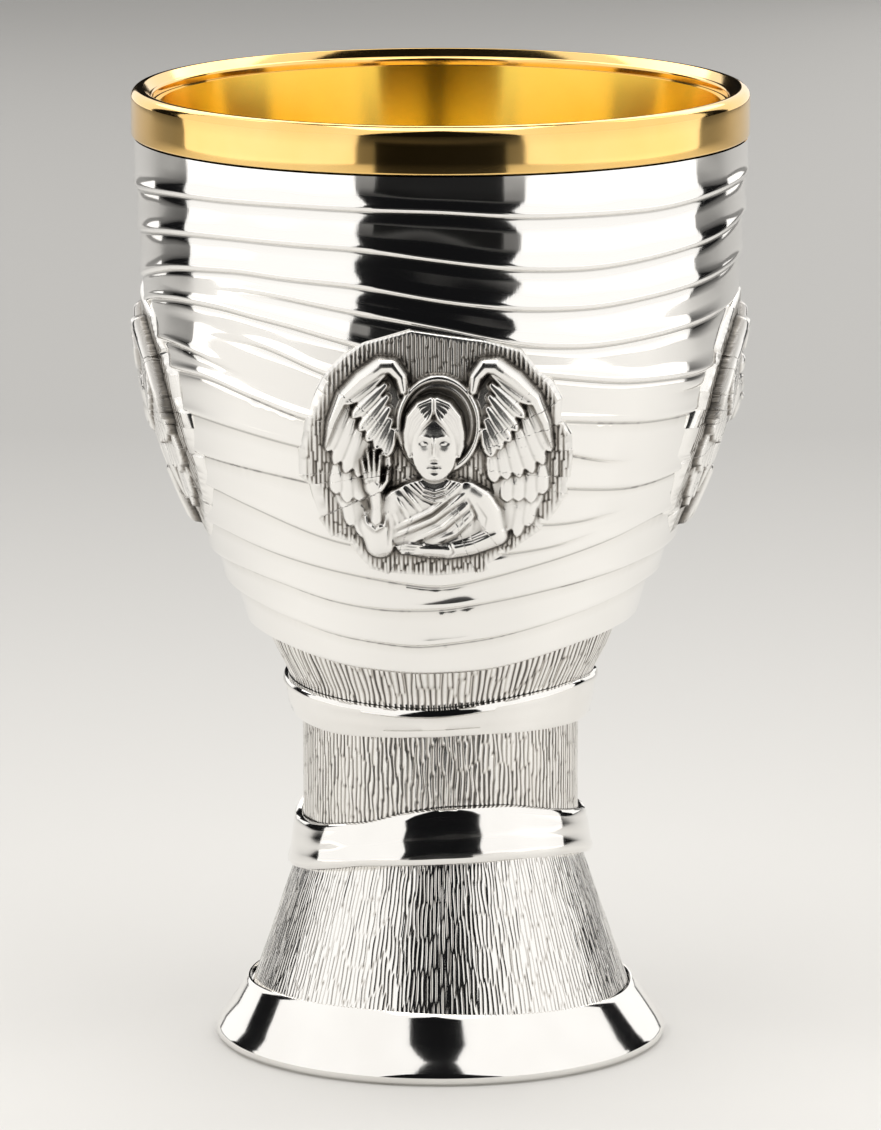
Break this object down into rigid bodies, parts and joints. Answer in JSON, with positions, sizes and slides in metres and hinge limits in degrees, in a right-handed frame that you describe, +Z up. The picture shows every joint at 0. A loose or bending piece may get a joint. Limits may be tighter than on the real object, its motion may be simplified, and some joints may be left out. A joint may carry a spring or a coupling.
{
  "type": "ciborium vessel",
  "caption": "Open ciborium: gilt cup in a chased silver-plated bowl with relief medallions, on a textured neck, collared stem and flared foot.",
  "frame": {"origin": "centre of the foot's resting face", "axes": "+Z up along the vessel's axis, -Y towards the front, where the angel medallion is, +X to the viewer's right"},
  "size_m": [0.105, 0.105, 0.165],
  "materials": {
    "gilt": "gold-plated brass, mirror polished",
    "silver_polished": "silver-plated brass, polished over light hammer and chasing marks",
    "silver_textured": "silver-plated brass, struck all over with short chisel strokes and darkened in the recesses",
    "bare_brass": "bare machined brass, hidden inside",
    "steel": "zinc-plated steel, satin"
  },
  "bodies": {
    "root": {"rim_band": "gilt", "gilt_cup": "gilt", "bowl_shell": "silver_polished", "medallion_angel": "silver_textured", "medallion_lion": "silver_textured", "medallion_eagle": "silver_textured", "medallion_ox": "silver_textured", "neck_cone": "silver_textured", "upper_collar": "silver_polished", "stem_tube": "silver_textured", "lower_collar": "silver_polished", "foot_cone": "silver_textured", "foot_ring": "silver_polished", "cup_boss": "bare_brass", "cup_seat_plate": "bare_brass", "stem_centring_plate": "bare_brass", "foot_bridge_plate": "bare_brass", "tie_rod": "steel", "flat_washer": "steel", "spring_washer": "steel", "hex_nut": "steel"}
  },
  "joints": []
}
